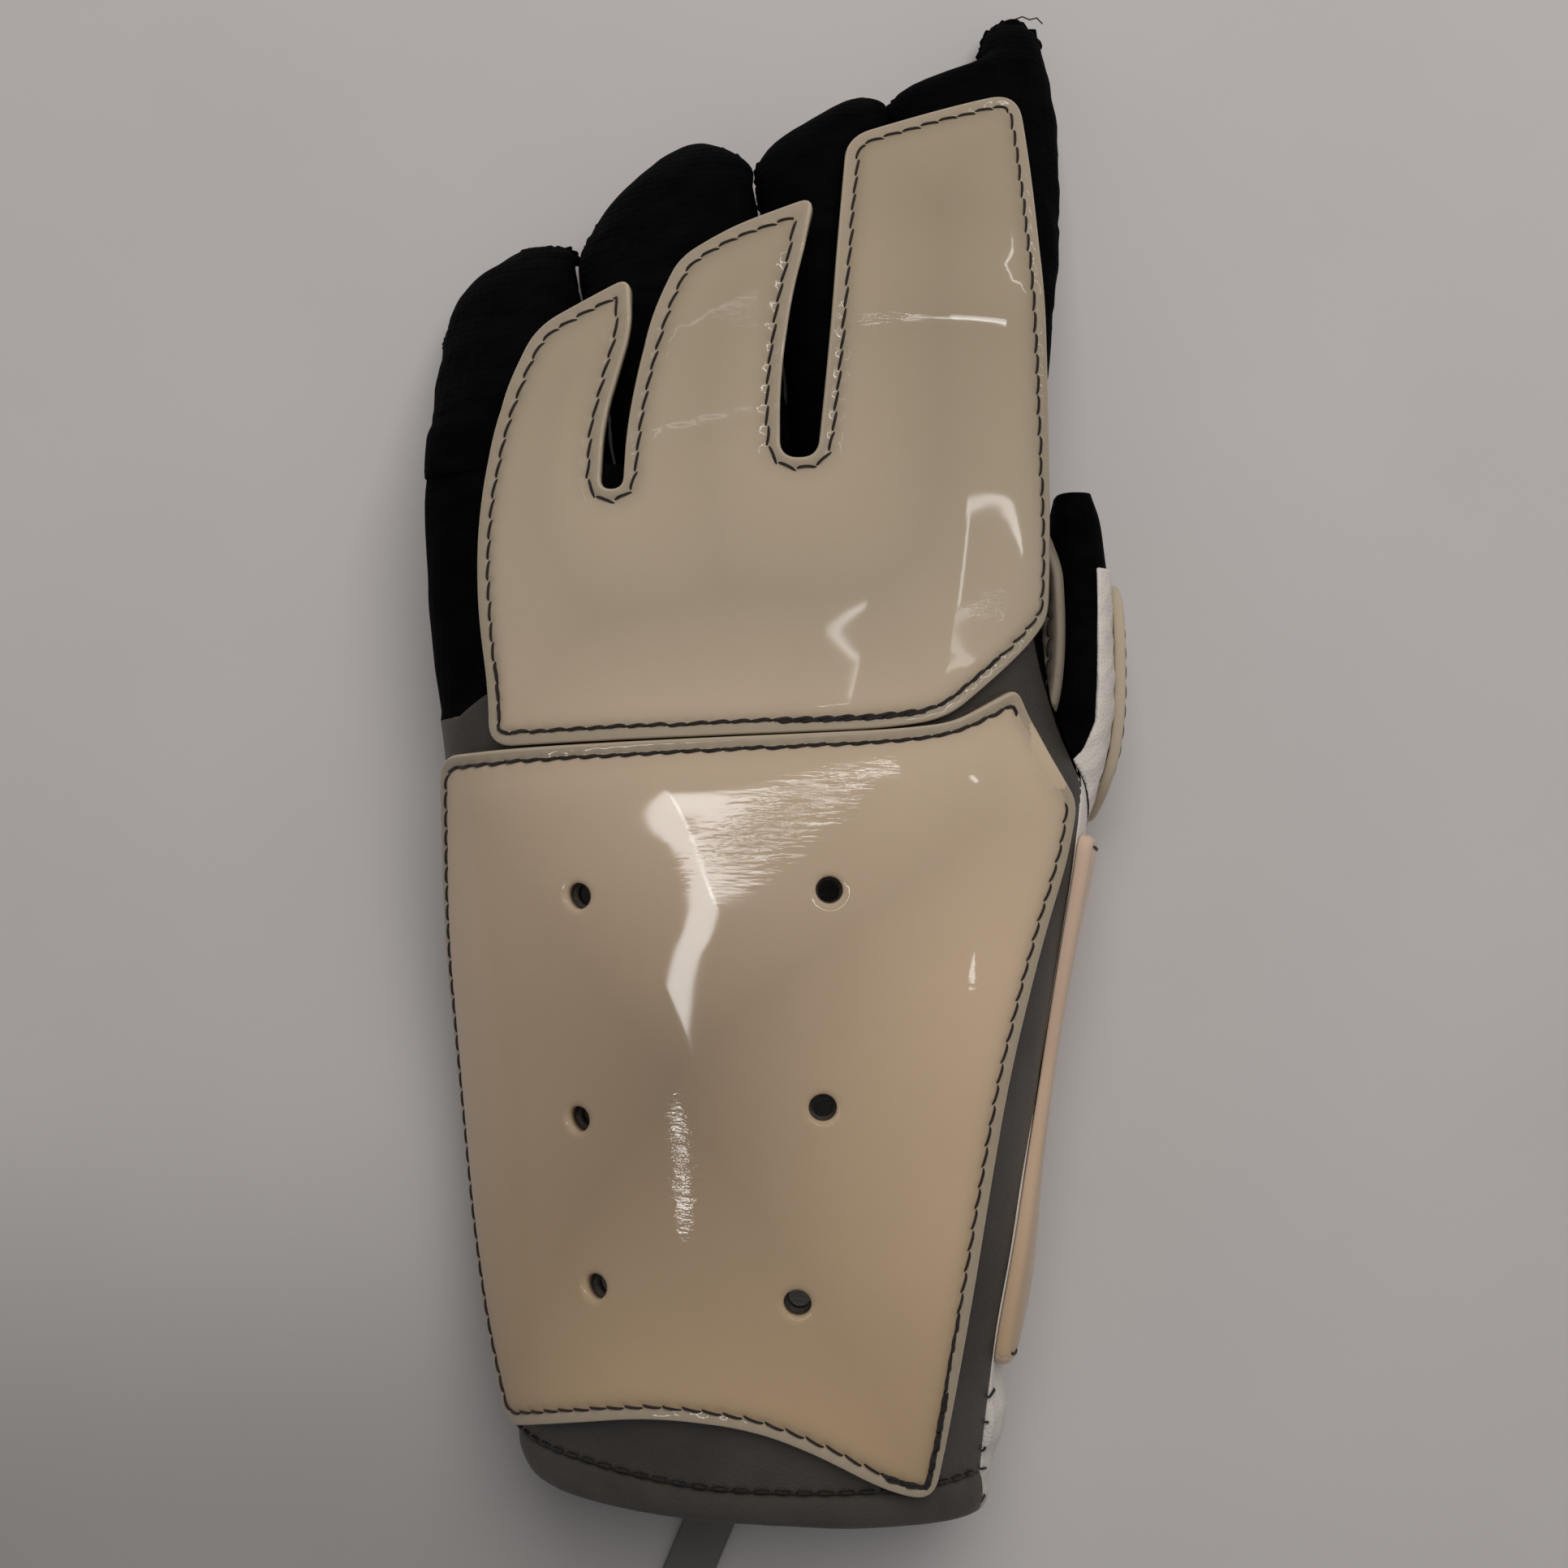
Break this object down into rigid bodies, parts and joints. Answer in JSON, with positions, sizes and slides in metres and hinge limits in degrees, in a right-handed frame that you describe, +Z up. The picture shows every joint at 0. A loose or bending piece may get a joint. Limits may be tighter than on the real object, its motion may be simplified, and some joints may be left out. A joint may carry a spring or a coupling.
{
  "type": "shooting glove",
  "caption": "Left-hand target-shooting glove with a long gauntlet, lying palm down: cream rubber sheets sewn on black stretch cloth, grey and white leather, open cuff",
  "frame": {"origin": "centre of the bounding box, on the surface the glove lies on", "axes": "+Y to the fingertips, +X to the thumb side, +Z up, out of the back of the hand"},
  "size_m": [0.1486, 0.352, 0.0691],
  "materials": {
    "cream_rubber": "glossy",
    "peach_rubber": "satin",
    "grey_leather": "satin",
    "white_leather": "matt",
    "black_cloth": "matt",
    "white_tape": "matt"
  },
  "bodies": {
    "root": {"hand_plate": "cream_rubber", "forearm_plate": "cream_rubber", "under_plate": "peach_rubber", "thumb_outer_plate": "cream_rubber", "thumb_inner_plate": "cream_rubber", "gauntlet_back": "grey_leather", "cuff_hem": "grey_leather", "palm_leather": "white_leather", "thumb_leather": "white_leather", "thumb_gusset": "black_cloth", "hand_cloth": "black_cloth", "finger_little": "black_cloth", "finger_ring": "black_cloth", "finger_middle": "black_cloth", "finger_index": "black_cloth", "size_tape": "white_tape"}
  },
  "joints": []
}
